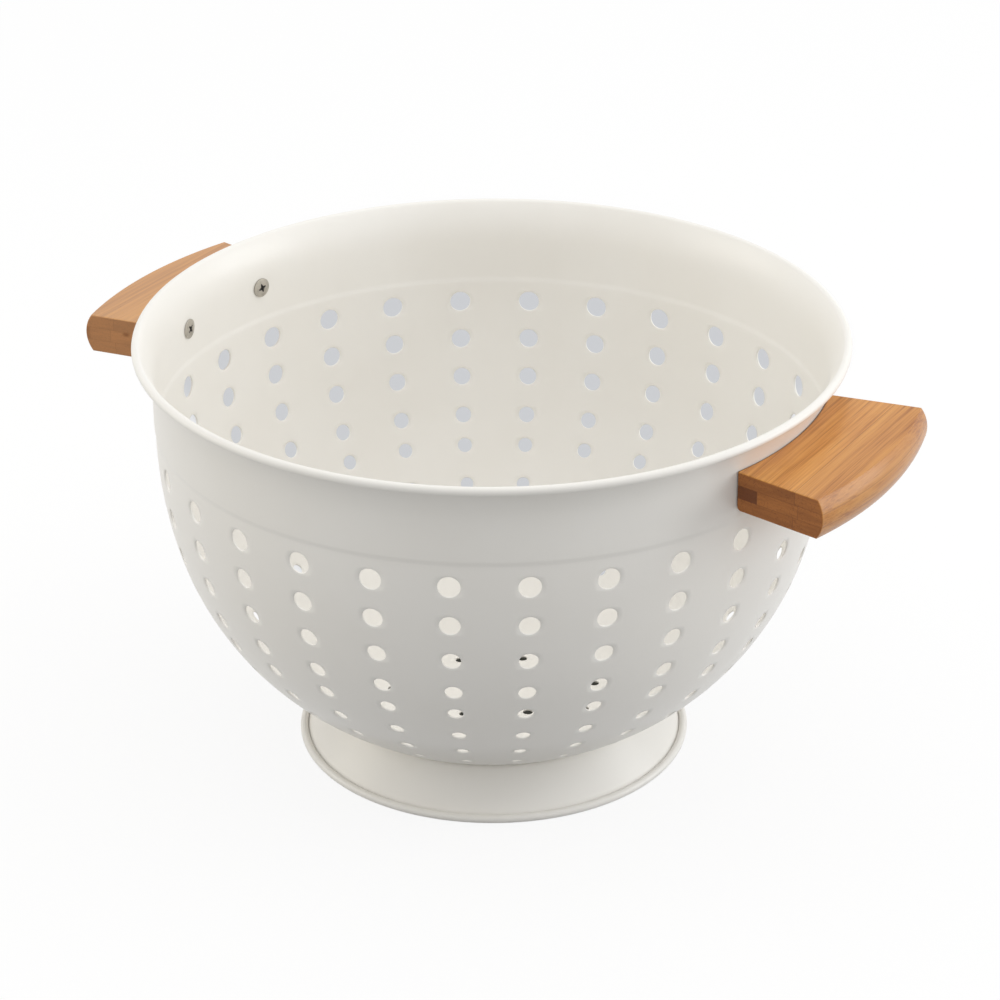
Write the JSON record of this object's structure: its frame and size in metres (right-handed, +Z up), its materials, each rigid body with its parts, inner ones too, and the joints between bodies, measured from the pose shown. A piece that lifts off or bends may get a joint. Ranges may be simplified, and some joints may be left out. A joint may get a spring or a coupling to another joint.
{
  "type": "colander",
  "caption": "Round footed colander with rows of drain holes, a rolled rim and a curved laminated bamboo handle screwed to each side.",
  "frame": {"origin": "centre of the face that the foot ring stands on", "axes": "+Z up through the mouth, +X out towards the right handle, +Y to the rear"},
  "size_m": [0.3266, 0.2664, 0.1678],
  "materials": {
    "cream_enamel": "satin cream enamel coat on sheet steel",
    "bamboo": "oiled flat-pressed bamboo, caramel colour",
    "nickel_steel": "nickel-plated steel"
  },
  "bodies": {
    "root": {"bowl": "cream_enamel", "foot_ring": "cream_enamel", "right_handle_top_ply": "bamboo", "right_handle_core_ply": "bamboo", "right_handle_bottom_ply": "bamboo", "right_front_screw": "nickel_steel", "right_rear_screw": "nickel_steel", "left_handle_top_ply": "bamboo", "left_handle_core_ply": "bamboo", "left_handle_bottom_ply": "bamboo", "left_front_screw": "nickel_steel", "left_rear_screw": "nickel_steel"}
  },
  "joints": []
}
